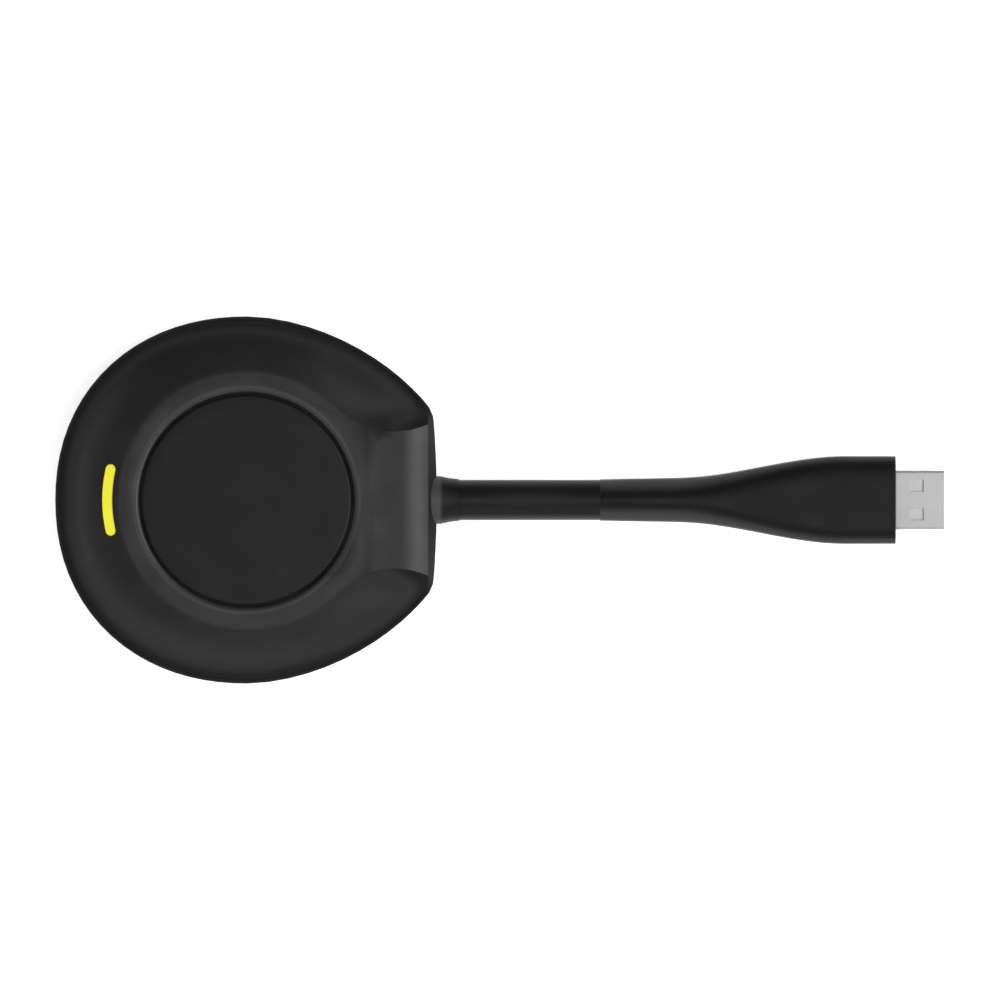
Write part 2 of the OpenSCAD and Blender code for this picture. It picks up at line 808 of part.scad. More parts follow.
// Coil spring with closed ends: the first and last turns lie flat
function spring_rise(turn, h) =
    let (flat = spring_flat_turns)
    let (active = spring_turns - 2 * flat)
    let (lay = spring_wire * spring_lay_share)
    turn < flat ? lay * turn
    : turn > spring_turns - flat ? h - lay * (spring_turns - turn)
    : mix(lay * flat, h - lay * flat, (turn - flat) / active);
module spring(z, h) {
    steps = spring_turns * spring_steps;
    rings = [
        for (i = [0 : steps])
            let (turn = i / spring_steps)
            let (a = 360 * turn)
            let (centre_z = z + spring_wire / 2 + spring_rise(turn, h - spring_wire))
            [for (k = [0 : spring_sides - 1])
                let (b = 360 * k / spring_sides)
                let (r = spring_r + spring_wire / 2 * cos(b))
                [r * cos(a), r * sin(a), centre_z + spring_wire / 2 * sin(b)]]
    ];
    tube(rings);
}
// A swept tube: rings of points, closed with a flat cap at each end
module tube(rings) {
    n = len(rings);
    m = len(rings[0]);
    faces = [
        for (i = [0 : n - 2]) for (k = [0 : m - 1])
            let (next = (k + 1) % m)
            each [
                [i * m + k, (i + 1) * m + k, i * m + next],
                [i * m + next, (i + 1) * m + k, (i + 1) * m + next]
            ]
    ];
    first = [for (k = [0 : m - 1]) k];
    last = [for (k = [m - 1 : -1 : 0]) (n - 1) * m + k];
    polyhedron([for (ring = rings) each ring], concat(faces, [first, last]));
}
module return_springs() {
    color("#b9bcc0") at_degs(post_degs, post_ring_r)
        spring(frame_top + snug_gap, cap_under - frame_top - 2 * snug_gap);
}

// Press switch

module switch_case() {
    half = switch_w / 2;
    color("#1b1b1c") difference() {
        union() {
            block([-half, -half, board_top], [half, half, switch_top - switch_lid_t]);
            block(
                [-half - switch_lid_out, -half + switch_lid_out, switch_top - 3 * switch_lid_t],
                [half + switch_lid_out, half - switch_lid_out, switch_top]
            );
        }
        translate([0, 0, board_top + switch_floor])
            cylinder(r = stem_r + slide_gap, h = switch_h, $fn = medium);
    }
}
module switch_stem() {
    from = board_top + switch_floor + travel + stem_rest_gap;
    color("#d8d4c8") translate([0, 0, from]) cylinder(r = stem_r, h = stem_top - from, $fn = medium);
}

// Light bar

module light_pipe() {
    flange_z = flange_top() - flange_t;
    color("#f4ee4a") {
        intersection() {
            light_bar(light_z, plateau_z, 0);
            light_section();
        }
        difference() {
            light_bar(flange_z, flange_t, flange_out);
            light_bar(flange_z - overrun, flange_t + 2 * overrun, -snug_gap);
        }
    }
}
// The bar's top face slopes with the dome
module light_section() {
    inner = light_ring_r - light_w;
    outer = light_ring_r + light_w;
    rotate([0, 0, 180 - 3 * light_half_deg / 2])
        rotate_extrude(angle = 3 * light_half_deg, $fn = fine)
            polygon([
                [inner, light_z - overrun], [outer, light_z - overrun],
                [outer, cover_z([-outer, 0])], [inner, cover_z([-inner, 0])]
            ]);
}
// The flange lies under the ceiling, which is lowest at the flange's outer corners
function flange_top() =
    let (r = light_ring_r + light_w / 2 + flange_out)
    let (degs = [0, light_half_deg / 2, flange_end_share * light_half_deg])
    min([for (a = degs) ceiling_z(ray(r, 180 - a))]) - laid_gap;

module light_shroud() {
    h = flange_top() - flange_t - board_top;
    color("#111112") difference() {
        light_bar(board_top, h, shroud_gap + shroud_t);
        light_bar(board_top - overrun, h + 2 * overrun, shroud_gap);
    }
}

module status_lamps() {
    color("#f3f0d8") at_degs([for (a = lamp_degs) 180 + a], light_ring_r)
        block([-lamp_w / 2, -lamp_l / 2, board_top], [lamp_w / 2, lamp_l / 2, board_top + lamp_h]);
}

// Board

module main_board() {
    lug_w = light_ring_r * sin(light_half_deg);
    color("#1d4d33") difference() {
        union() {
            translate([0, 0, board_z]) cylinder(r = board_r, h = board_t, $fn = fine);
            light_bar(board_z, board_t, shroud_gap + shroud_t);
            block([-light_ring_r, -lug_w, board_z], [0, lug_w, board_top]);
        }
        at_degs(boss_degs, boss_ring_r)
            cylinder(r = boss_r + boss_clear, h = seam_z + overrun, $fn = medium);
        block(
            [lead_from_x - wall, -board_nose_cut_w / 2, board_z - overrun],
            [board_r + overrun, board_nose_cut_w / 2, board_top + overrun]
        );
        for (p = board_posts) translate([p.x, p.y, 0])
            cylinder(r = small_screw_r + laid_gap, h = board_top + overrun, $fn = medium);
    }
}
module board_screws() {
    color("#8d8f92") for (p = board_posts) translate([p.x, p.y, 0])
        screw_down(board_top, small_head_r, small_head_h, small_screw_r, board_t + board_shank);
}
module processor() {
    color("#26282c") block(
        [-chip_w / 2, -chip_w / 2, board_z - chip_h],
        [chip_w / 2, chip_w / 2, board_z]
    );
}
module thermal_pad() {
    color("#9aa3ad") block(
        [-chip_w / 2, -chip_w / 2, floor_z + spreader_t],
        [chip_w / 2, chip_w / 2, board_z - chip_h]
    );
}
module heat_spreader() {
    color("#c3c6c9") translate([0, 0, floor_z]) linear_extrude(spreader_t) difference() {
        round_rect(spreader_l, spreader_w, spreader_corner);
        for (p = board_posts) translate(p) circle(board_post_r + laid_gap, $fn = medium);
    }
}
module radio_module() {
    lid = board_top + radio_board_t + radio_can_h;
    color("#b4b7ba") translate(radio_at) difference() {
        union() {
            block([0, 0, board_top], [radio_l, radio_w, board_top + radio_board_t]);
            block(
                [radio_rim, radio_rim, board_top + radio_board_t],
                [radio_l - radio_rim, radio_w - radio_rim, lid]
            );
        }
        translate([radio_l / 4, radio_w / 4, lid - can_dimple_depth])
            cylinder(r = can_dimple_r, h = overrun, $fn = medium);
    }
}
module power_shield() {
    top = board_top + shield_h;
    color("#b4b7ba") translate(shield_at) difference() {
        block([0, 0, board_top], [shield_l, shield_w, top]);
        for (quarter = [1, 3])
            translate([quarter * shield_l / 4, shield_w / 2, top - can_dimple_depth])
                cylinder(r = can_dimple_r, h = overrun, $fn = medium);
    }
}
module memory_chips() {
    color("#26282c") for (k = [0, 1])
        translate([memory_at.x + k * (memory_l + memory_gap), memory_at.y, board_top])
            cube([memory_l, memory_w, memory_h]);
}
module power_inductors() {
    color("#3c3c40") for (p = coils_at) translate([p.x, p.y, board_top]) {
        cylinder(r = coil_core_r, h = coil_h, $fn = medium);
        cylinder(r = coil_r, h = coil_lip, $fn = medium);
        translate([0, 0, coil_h - coil_lip]) cylinder(r = coil_r, h = coil_lip, $fn = medium);
    }
}
// Stamped strip on two legs, bent to the board's edge
module antenna(middle_deg) {
    h = antenna_room_share * (ceiling_z([0, antenna_ring_r + antenna_t]) - board_top);
    rotate([0, 0, middle_deg]) translate([0, 0, board_top]) {
        antenna_piece(-antenna_half_deg, antenna_half_deg, h - antenna_band_h, h);
        antenna_piece(-antenna_half_deg, antenna_leg_deg - antenna_half_deg, 0, h);
        antenna_piece(-antenna_leg_deg, 0, 0, h);
    }
}
module antenna_piece(from_deg, to_deg, from_z, to_z) {
    rotate([0, 0, from_deg])
        rotate_extrude(angle = to_deg - from_deg, $fn = fine)
            translate([antenna_ring_r, from_z]) square([antenna_t, to_z - from_z]);
}
module antenna_left() {
    color("#c9a04c") antenna(90);
}
module antenna_right() {
    color("#c9a04c") mirror([0, 1, 0]) antenna(90);
}
module board_header() {
    color("#e6e2d6") difference() {
        block(
            [header_x, -header_w / 2, board_top],
            [header_x + header_l, header_w / 2, board_top + header_h]
        );
        block(
            [wire_plug_x, -mouth_w / 2, board_top + header_wall],
            [header_x + header_l + overrun, mouth_w / 2, board_top + header_h + overrun]
        );
    }
}
module wire_plug() {
    w = mouth_w - 2 * snug_gap;
    color("#f0eee6") block(
        [wire_plug_x + snug_gap, -w / 2, board_top + header_wall + snug_gap],
        [wire_plug_x + wire_plug_l, w / 2, board_top + header_wall + wire_plug_h]
    );
}
module lead_wires() {
    wire_row(wire_plug_x + wire_plug_l, lead_from_x, board_top + header_wall + wire_plug_h / 2);
}
module wire_row(from, to, z) {
    color("#7a2d2a") for (k = [0 : wires - 1])
        translate([0, (k - (wires - 1) / 2) * wire_pitch, 0]) along_x(wire_r, from, to, z);
}

// Lead and plug

module cable_gland() {
    collar_x = nose_x + gland_collar;
    end_x = nose_x + gland_proud;
    flange = [
        [lead_r + snug_gap, gland_flange_x],
        [gland_flange_r, gland_flange_x],
        [gland_flange_r, gland_flange_x + gland_flange_t],
        [gland_r, gland_flange_x + gland_flange_t]
    ];
    taper = [
        for (share = gland_taper_shares)
            [mix(lead_r + gland_feather, gland_r, share.y), mix(collar_x, end_x, share.x)]
    ];
    color("#2a2a2c") translate([0, 0, lead_z]) rotate([0, 90, 0]) rotate_extrude($fn = fine)
        polygon(concat(flange, taper, [[lead_r + snug_gap, end_x]]));
}

// Each ring of the lead stands square to the route there
function route_slope(i) =
    let (from = lead_route[max(0, i - 1)])
    let (to = lead_route[min(len(lead_route) - 1, i + 1)])
    atan2(to.y - from.y, to.x - from.x);
module lead() {
    rings = [
        for (i = [0 : len(lead_route) - 1])
            let (tilt = route_slope(i))
            [for (k = [0 : lead_sides - 1])
                let (b = -360 * k / lead_sides)
                [
                    lead_route[i].x - lead_r * sin(b) * sin(tilt),
                    lead_r * cos(b),
                    lead_route[i].y + lead_r * sin(b) * cos(tilt)
                ]]
    ];
    color("#232324") tube(rings);
}

// The boot swells from the round lead to the flat plug
function boot_flare(share) = smooth_share((share - flare_from_share) / flare_share);
function boot_swell(share) =
    mix(min(1, share / creep_end_share) * creep_share, 1, boot_flare(share));
function boot_ring(share, inset) =
    let (half_w = mix(lead_r + boot_lip, boot_w / 2, boot_swell(share)) - inset)
    let (half_h = mix(lead_r + boot_lip, boot_h / 2, boot_swell(share)) - inset)
    let (power = mix(boot_round_power, boot_flat_power, boot_flare(share)))
    [for (k = [0 : boot_sides - 1])
        let (b = -360 * k / boot_sides)
        let (grow = pow(pow(abs(cos(b)), power) + pow(abs(sin(b)), power), -1 / power))
        [boot_x + share * boot_len, half_w * grow * cos(b), boot_z + half_h * grow * sin(b)]];
module plug_boot() {
    end_share = boot_edge / boot_len;
    pocket_w = lead_r * boot_pocket_w_share;
    pocket_h = lead_r * boot_pocket_h_share;
    rings = concat(
        [for (share = boot_station_shares) boot_ring(share, 0)],
        [
            boot_ring(1 - end_share, 0),
            boot_ring(1 - boot_edge_share * end_share, boot_edge_share * boot_edge),
            boot_ring(1, boot_edge)
        ]
    );
    color("#262627") difference() {
        tube(rings);
        along_x(lead_r + snug_gap, boot_x - overrun, lead_to_x, boot_z, fine);
        block(
            [lead_to_x - laid_gap, -pocket_w, boot_z - pocket_h],
            [mould_x + overrun, pocket_w, boot_z + pocket_h]
        );
        mould_body(snug_gap);
        shell_blank(shell_x, boot_end_x + overrun, snug_gap);
    }
}
// Inner moulding that grips the shell and the wires, with grip ribs all round
module mould_body(out) {
    half_w = shell_w / 2 + mould_wall + out;
    half_h = shell_h / 2 + mould_wall + out;
    block([mould_x - out, -half_w, boot_z - half_h], [mould_x + mould_l + out, half_w, boot_z + half_h]);
}
module plug_mould() {
    half_w = shell_w / 2 + mould_wall;
    color("#d9d6cc") difference() {
        mould_body(0);
        shell_blank(shell_x, tip_x, snug_gap);
        for (k = [1 : mould_ribs]) for (side = [-1, 1])
            translate([mould_x + k * 2 * mould_rib, side * half_w, boot_z - shell_h])
                translate([0, -mould_rib / 2, 0]) cube([mould_rib, mould_rib, 2 * shell_h]);
    }
}
module plug_wires() {
    wire_row(lead_to_x, mould_x, boot_z);
}
// Outline of the plug's shell, as a bar along X
module shell_blank(from, to, out) {
    translate([from, 0, boot_z]) rotate([90, 0, 90])
        linear_extrude(to - from) round_rect(shell_w + 2 * out, shell_h + 2 * out, shell_corner + out);
}
module plug_shell() {
    color("#c9cacc") difference() {
        shell_blank(shell_x, tip_x, 0);
        shell_blank(shell_x + shell_t, tip_x + overrun, -shell_t);
        for (side = [-1, 1])
            translate([window_x - window_l / 2, side * window_y - window_w / 2, boot_z - shell_h])
                cube([window_l, window_w, 2 * shell_h]);
    }
}
// Insulator under the shell's upper wall, which shows through the windows
module plug_tongue() {
    half_w = shell_w / 2 - shell_t - tongue_side_gap;
    top = boot_z + shell_h / 2 - shell_t;
    color("#e9e8e4") block(
        [shell_x + shell_t, -half_w, top - tongue_t],
        [tip_x - tongue_back, half_w, top]
    );
}
module plug_contacts() {
    under = boot_z + shell_h / 2 - shell_t - tongue_t;
    to_x = tip_x - tongue_back - contact_w / 2;
    color("#d4af4a") for (share = contact_shares) {
        y = share * shell_w / 2;
        l = abs(y) > 2 * contact_w ? contact_long : contact_short;
        block([to_x - l, y - contact_w / 2, under - contact_t], [to_x, y + contact_w / 2, under]);
    }
}

bottom_cover();
top_cover();
base_foot();
housing_screws();
button_cap();
stop_screws();
button_frame();
frame_screws();
return_springs();
switch_case();
switch_stem();
light_pipe();
light_shroud();
status_lamps();
main_board();
board_screws();
processor();
thermal_pad();
heat_spreader();
radio_module();
power_shield();
memory_chips();
power_inductors();
antenna_left();
antenna_right();
board_header();
wire_plug();
lead_wires();
cable_gland();
lead();
plug_boot();
plug_mould();
plug_wires();
plug_shell();
plug_tongue();
plug_contacts();
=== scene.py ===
# %% [markdown]
# # A press-button puck on a short lead
#
# The object is a round black puck. One large button fills its top, a yellow light bar
# curves round the far side, and a short stiff lead ends in a flat moulded plug. Its sizes
# and joints come from a solid model that is already finished, so this lesson only dresses
# it: each solid gets a finish, and those that are soft or too coarse get a new mesh in
# exactly the same place. All lengths are in metres, so a millimetre has a name.

# %% Load the solids
import json
import math

import bpy
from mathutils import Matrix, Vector

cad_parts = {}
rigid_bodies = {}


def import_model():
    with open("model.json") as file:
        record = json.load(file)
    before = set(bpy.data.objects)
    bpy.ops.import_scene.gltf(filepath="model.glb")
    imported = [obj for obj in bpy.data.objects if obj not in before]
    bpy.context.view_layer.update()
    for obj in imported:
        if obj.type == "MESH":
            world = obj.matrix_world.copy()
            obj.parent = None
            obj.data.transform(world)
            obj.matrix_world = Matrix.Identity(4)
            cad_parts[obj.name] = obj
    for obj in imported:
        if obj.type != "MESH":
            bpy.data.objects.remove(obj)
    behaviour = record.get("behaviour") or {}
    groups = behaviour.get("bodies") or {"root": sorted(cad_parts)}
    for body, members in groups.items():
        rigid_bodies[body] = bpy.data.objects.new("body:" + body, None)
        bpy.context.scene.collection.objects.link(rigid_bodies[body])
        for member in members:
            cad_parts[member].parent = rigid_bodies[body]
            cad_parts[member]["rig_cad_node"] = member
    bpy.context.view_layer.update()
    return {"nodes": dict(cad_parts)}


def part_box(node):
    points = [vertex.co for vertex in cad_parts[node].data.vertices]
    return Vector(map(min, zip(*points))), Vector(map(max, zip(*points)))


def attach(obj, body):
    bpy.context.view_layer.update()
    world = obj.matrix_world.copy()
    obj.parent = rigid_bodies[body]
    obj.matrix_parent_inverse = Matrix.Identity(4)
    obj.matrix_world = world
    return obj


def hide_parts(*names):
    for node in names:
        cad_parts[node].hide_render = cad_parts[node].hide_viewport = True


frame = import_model()
nodes = frame["nodes"]
MM = 0.001

# %% [markdown]
# ## Camera
#
# The picture looks straight down on the puck with a long lens. A camera that isn't turned
# looks down already, with +Y up in the picture. It hangs so high that the puck's top and its
# edge have nearly the same scale. Its lens follows from its height and from how many
# millimetres one pixel of the picture covers, so the object gets its true place.

# %% Place the camera
SENSOR_MM = 36
PICTURE_PIXELS = 1000
MM_PER_PIXEL = 0.2037
PICTURE_CENTRE_X = 51.48 * MM
OUTLINE_Z = 8 * MM
CAMERA_RISE = 2.5
CLIP_NEAR, CLIP_FAR = 0.01, 50

picture_width = PICTURE_PIXELS * MM_PER_PIXEL * MM
bpy.ops.object.camera_add(location=(PICTURE_CENTRE_X, 0, OUTLINE_Z + CAMERA_RISE))
camera = bpy.context.active_object
camera.data.sensor_width = SENSOR_MM
camera.data.lens = SENSOR_MM * CAMERA_RISE / picture_width
camera.data.clip_start = CLIP_NEAR
camera.data.clip_end = CLIP_FAR
bpy.context.scene.camera = camera
print("lens in mm:", round(camera.data.lens, 1))

# %% [markdown]
# ## Picking a piece and settling it
#
# Every operator works on what is selected, and the imported solids start out selected. So each
# piece begins by clearing the selection. Each new piece also goes onto the body that it moves
# with, and the solid that it stands for is hidden. It could be written out every time, but a
# forgotten line would leave a piece behind when the button moves, so both steps are small
# functions.

# %% Define how a piece is picked and settled
def select_only(piece):
    """Clears the selection and picks one piece."""
    bpy.ops.object.select_all(action="DESELECT")
    piece.select_set(True)
    bpy.context.view_layer.objects.active = piece


def settle(piece, body, replaced):
    """Puts a new piece on the body that it rides on and hides the solid that it stands for."""
    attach(piece, body)
    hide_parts(replaced)
    print(piece.name, "faces:", len(piece.data.polygons))

# %% [markdown]
# ## The lead
#
# The lead is a short round cable, too stiff to curl: it leaves the gland level, bends down
# to the table under its own weight and runs straight into the boot. A mesh tube would need
# its rings turned by hand at every bend. A curve with a round bevel keeps them square to the
# route by itself, so the lead is one curve through a few points of its side view.

# %% Draw the lead
LEAD_RADIUS = 4.1 * MM
LEAD_ROUTE_MM = [
    (32, 7.7), (38, 7.7), (43, 7.7), (46, 7.6), (49, 7.4), (52, 7), (55, 6.5), (58, 5.9),
    (61, 5.4), (64, 4.9), (67, 4.6), (70, 4.5), (76, 4.5), (84, 4.5), (93, 4.5)
]
LEAD_BEVEL_RESOLUTION = 14
LEAD_CURVE_RESOLUTION = 8
LEAD_CURVE_ORDER = 4
lead_points = [Vector((x * MM, 0, z * MM)) for x, z in LEAD_ROUTE_MM]

lead_line = bpy.data.curves.new("lead_cable", "CURVE")
lead_line.dimensions = "3D"
lead_line.bevel_depth = LEAD_RADIUS
lead_line.bevel_resolution = LEAD_BEVEL_RESOLUTION
lead_line.resolution_u = LEAD_CURVE_RESOLUTION
lead_line.use_fill_caps = True
spline = lead_line.splines.new("NURBS")
spline.points.add(len(lead_points) - 1)
for point, place in zip(spline.points, lead_points):
    point.co = (*place, 1)
spline.order_u = LEAD_CURVE_ORDER
spline.use_endpoint_u = True
lead_cable = bpy.data.objects.new("lead_cable", lead_line)
bpy.context.scene.collection.objects.link(lead_cable)
select_only(lead_cable)
bpy.ops.object.convert(target="MESH")
lead_cable = bpy.context.active_object
settle(lead_cable, "housing", "lead")

# %% [markdown]
# ## The covers and the button
#
# The solids of the covers, the button, the light bar, the gland, the foot and the plug's
# shell already have their true shape, crease and all. Only their shading gives them away:
# flat triangles on the dome. Modelling them again could only lose the fit between them. A
# welded copy with smooth normals is enough, and edges above a chosen angle stay crisp, such
# as the ridge along the thumb hollows and the mouth of the button's bore.
#
# The solids arrive as loose triangles, each with flat normals of its own. Those no longer
# fit once triangles are welded and would leave bright specks round every slot, so each copy
# clears them first.

# %% Smooth copies of the moulded solids
WELD = 0.001 * MM
FLAT_DEGREES = 0.05


def merged_copy(node, name):
    """Copies a solid, welds its loose triangles and gives the copy a name of its own."""
    select_only(nodes[node])
    bpy.ops.object.duplicate()
    piece = bpy.context.active_object
    piece.name = piece.data.name = name
    del piece["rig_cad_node"]
    bpy.ops.mesh.customdata_custom_splitnormals_clear()
    bpy.ops.object.mode_set(mode="EDIT")
    bpy.ops.mesh.select_all(action="SELECT")
    bpy.ops.mesh.remove_doubles(threshold=WELD)
    bpy.ops.mesh.dissolve_limited(angle_limit=math.radians(FLAT_DEGREES))
    bpy.ops.object.mode_set(mode="OBJECT")
    return piece


def smooth(piece, crease_degrees):
    """Smooths the shading, and keeps every edge sharper than this angle."""
    select_only(piece)
    bpy.ops.object.shade_smooth_by_angle(angle=math.radians(crease_degrees))


# Each row holds the solid, the copy's name, its body, its finish and its crease angle.
MOULDED = [
    ("top_cover", "upper_shell", "housing", "housing_upper", 25),
    ("bottom_cover", "lower_shell", "housing", "housing_lower", 32),
    ("button_cap", "press_button", "button", "button_plastic", 30),
    ("light_pipe", "light_bar_lens", "housing", "light_bar", 30),
    ("cable_gland", "lead_gland", "housing", "gland_rubber", 35),
    ("base_foot", "rubber_foot", "housing", "foot_rubber", 30),
    ("plug_shell", "plug_sleeve", "housing", "shell_steel", 40),
]
made = {}
for node, name, body, slot, crease_degrees in MOULDED:
    made[name] = merged_copy(node, name)
    smooth(made[name], crease_degrees)
    settle(made[name], body, node)

# %% [markdown]
# ## The boot
#
# Soft plastic is moulded over the end of the lead and the plug. Seen from above it starts as
# a thin collar on the cable, swells over a good half of its length and ends as a flat block
# with a square face. One way is a box with loop cuts, but its round end never looks round.
# Here a ring of points is extruded along the lead in short steps, and each ring is then
# squared and sized by a curve: round at the cable, nearly rectangular at the plug. The curve
# creeps out by a few hundredths of the whole swell first, and then the flare takes over.

# %% Work out the boot's section
BOOT_LIP = 0.12 * MM
CREEP_SHARE, CREEP_END_SHARE = 0.07, 0.3
FLARE_FROM_SHARE, FLARE_SHARE = 0.26, 0.57
ROUND_POWER, FLAT_POWER = 2, 5

boot_low, boot_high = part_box("plug_boot")
boot_length = boot_high.x - boot_low.x
boot_middle_z = (boot_low.z + boot_high.z) / 2


def smooth_share(value):
    """Eases a share from 0 to 1."""
    share = min(1, max(0, value))
    return share * share * (3 - 2 * share)


def boot_section(share, angle):
    """Where the boot's skin lies at this share of its length, in one direction round it."""
    flare = smooth_share((share - FLARE_FROM_SHARE) / FLARE_SHARE)
    creep = min(1, share / CREEP_END_SHARE) * CREEP_SHARE
    swell = creep + (1 - creep) * flare
    start = LEAD_RADIUS + BOOT_LIP
    half_width = start + (boot_high.y - start) * swell
    half_height = start + (boot_high.z - boot_middle_z - start) * swell
    power = ROUND_POWER + (FLAT_POWER - ROUND_POWER) * flare
    across, up = math.cos(angle), math.sin(angle)
    grow = (abs(across) ** power + abs(up) ** power) ** (-1 / power)
    return half_width * grow * across, half_height * grow * up


print("boot in mm:", round(boot_length / MM, 1), "long, and from its collar to its face",
      [round(2 * boot_section(share, 0)[0] / MM, 1) for share in (0, 0.5, 1)], "wide")

# %% Extrude and shape the boot
BOOT_SIDES = 72
BOOT_STEPS = 60
BOOT_BEVEL = 0.2 * MM
BOOT_BEVEL_SEGMENTS = 3
BOOT_BEVEL_DEGREES = 60
BOOT_CREASE_DEGREES = 40

bpy.ops.object.select_all(action="DESELECT")
bpy.ops.mesh.primitive_circle_add(
    vertices=BOOT_SIDES, radius=1, location=(boot_low.x, 0, 0), rotation=(0, math.pi / 2, 0)
)
boot = bpy.context.active_object
boot.name = boot.data.name = "moulded_boot"
bpy.ops.object.transform_apply(location=True, rotation=True, scale=True)
bpy.ops.object.mode_set(mode="EDIT")
bpy.ops.mesh.select_all(action="SELECT")
bpy.ops.mesh.edge_face_add()
for step in range(BOOT_STEPS):
    bpy.ops.mesh.extrude_region_move(
        TRANSFORM_OT_translate={"value": (boot_length / BOOT_STEPS, 0, 0)}
    )
bpy.ops.mesh.select_all(action="SELECT")
bpy.ops.mesh.normals_make_consistent(inside=False)
bpy.ops.object.mode_set(mode="OBJECT")
for vertex in boot.data.vertices:
    share = (vertex.co.x - boot_low.x) / boot_length
    across, up = boot_section(share, math.atan2(vertex.co.z, vertex.co.y))
    vertex.co.y = across
    vertex.co.z = boot_middle_z + up
rounding = boot.modifiers.new("Rounding", "BEVEL")
rounding.width = BOOT_BEVEL
rounding.segments = BOOT_BEVEL_SEGMENTS
rounding.limit_method = "ANGLE"
rounding.angle_limit = math.radians(BOOT_BEVEL_DEGREES)
select_only(boot)
bpy.ops.object.modifier_apply(modifier=rounding.name)
smooth(boot, BOOT_CREASE_DEGREES)
settle(boot, "housing", "plug_boot")

# %% [markdown]
# ## How a finish is made
#
# A moulded or rolled surface is never one flat colour. Three things vary on it: a fine grain
# that the tool leaves, a slow drift in gloss from handling, and a slight change of colour.
# An image could hold them, but it would have to be wrapped round each piece. One recipe
# makes all three from noise on the piece's own coordinates, in real millimetres, so that the
# same grain has the same size on every piece. Stretching the coordinates along one axis
# turns the grain into brushing or into the draw lines of a cable.

# %% Define the finish recipe
SHADER = "Principled BSDF"
NOISE_LOW, NOISE_HIGH = 0.3, 0.7
GRAIN_DETAIL, DRIFT_DETAIL = 3, 2
DRIFT_MM = 9
ROUGH_DRIFT = 0.05


def feed(tree, socket, source):
    """Links a socket to another node's output, or gives it a plain value."""
    if isinstance(source, bpy.types.NodeSocket):
        tree.links.new(source, socket)
    else:
        socket.default_value = source


def noise(tree, place, size_mm, detail):
    """Noise with features of about this size."""
    node = tree.nodes.new("ShaderNodeTexNoise")
    node.inputs["Scale"].default_value = 1 / (size_mm * MM)
    node.inputs["Detail"].default_value = detail
    feed(tree, node.inputs["Vector"], place)
    return node.outputs["Fac"]


def ramp(tree, source, span, result=(0, 1), eased=False):
    """Maps one span of values to another, and holds the end values outside it."""
    node = tree.nodes.new("ShaderNodeMapRange")
    if eased:
        node.interpolation_type = "SMOOTHSTEP"
    for name, value in zip(("From Min", "From Max", "To Min", "To Max"), (*span, *result)):
        node.inputs[name].default_value = value
    feed(tree, node.inputs["Value"], source)
    return node.outputs["Result"]


def finish_of(
    name, color, rough, grain_mm, depth_mm, color_drift=0.15, stretch=(1, 1, 1), metallic=0,
    specular=0.5
):
    """A material with grain, drifting gloss and slightly varied colour."""
    material = bpy.data.materials.new(name)
    material.use_nodes = True
    tree = material.node_tree
    shader = tree.nodes[SHADER]
    shader.inputs["Metallic"].default_value = metallic
    shader.inputs["Specular IOR Level"].default_value = specular
    place = tree.nodes.new("ShaderNodeTexCoord")
    scaled = tree.nodes.new("ShaderNodeMapping")
    scaled.inputs["Scale"].default_value = stretch
    feed(tree, scaled.inputs["Vector"], place.outputs["Object"])
    grain = noise(tree, scaled.outputs["Vector"], grain_mm, GRAIN_DETAIL)
    drift = noise(tree, scaled.outputs["Vector"], DRIFT_MM, DRIFT_DETAIL)
    gloss = ramp(tree, drift, (NOISE_LOW, NOISE_HIGH), (rough - ROUGH_DRIFT, rough + ROUGH_DRIFT))
    feed(tree, shader.inputs["Roughness"], gloss)
    shade = tree.nodes.new("ShaderNodeMix")
    shade.data_type = "RGBA"
    shade.inputs["A"].default_value = (*[c * (1 - color_drift) for c in color], 1)
    shade.inputs["B"].default_value = (*[c * (1 + color_drift) for c in color], 1)
    feed(tree, shade.inputs["Factor"], ramp(tree, grain, (NOISE_LOW, NOISE_HIGH)))
    feed(tree, shader.inputs["Base Color"], shade.outputs["Result"])
    bump = tree.nodes.new("ShaderNodeBump")
    bump.inputs["Distance"].default_value = depth_mm * MM
    feed(tree, bump.inputs["Height"], grain)
    feed(tree, shader.inputs["Normal"], bump.outputs["Normal"])
    print(f"{name}: roughness {rough}, grain {grain_mm} mm wide and {depth_mm} mm deep")
    return material


def dress(material, *pieces):
    """Puts one material on each of these pieces."""
    for piece in pieces:
        piece = nodes[piece] if isinstance(piece, str) else piece
        piece.data.materials.clear()
        piece.data.materials.append(material)

# %% [markdown]
# ## Finishes that change over a piece
#
# Three pieces need one thing more. The upper cover's mould is etched coarser on the steep rim
# than on top, and its colour there is darkened as painted shade. The mouth of the button's bore
# gets a painted highlight, a lighter ring. The boot gets a painted highlight, a lighter colour on
# its rounded shoulders than on its flat top and its sides. The gland gets a painted highlight on
# its root, where it meets the cover, and a sleeve as dark as the lead.
#
# Each could be painted by hand, but where each change lies can be measured on the surface: how
# far a face looks up, how far it lies from the button's axis, or how far along the lead.
# So each change is a factor worked out from that measure, which tints the finished colour.

# %% Define what is measured on a surface
def calculate(tree, operation, *sources):
    """Works a value out of other values."""
    node = tree.nodes.new("ShaderNodeMath")
    node.operation = operation
    for socket, source in zip(node.inputs, sources):
        feed(tree, socket, source)
    return node.outputs["Value"]


def measured(tree, kind, output, axis):
    """One axis of what a node measures on the surface."""
    node = tree.nodes.new(kind)
    parts = tree.nodes.new("ShaderNodeSeparateXYZ")
    feed(tree, parts.inputs["Vector"], node.outputs[output])
    return parts.outputs[axis]


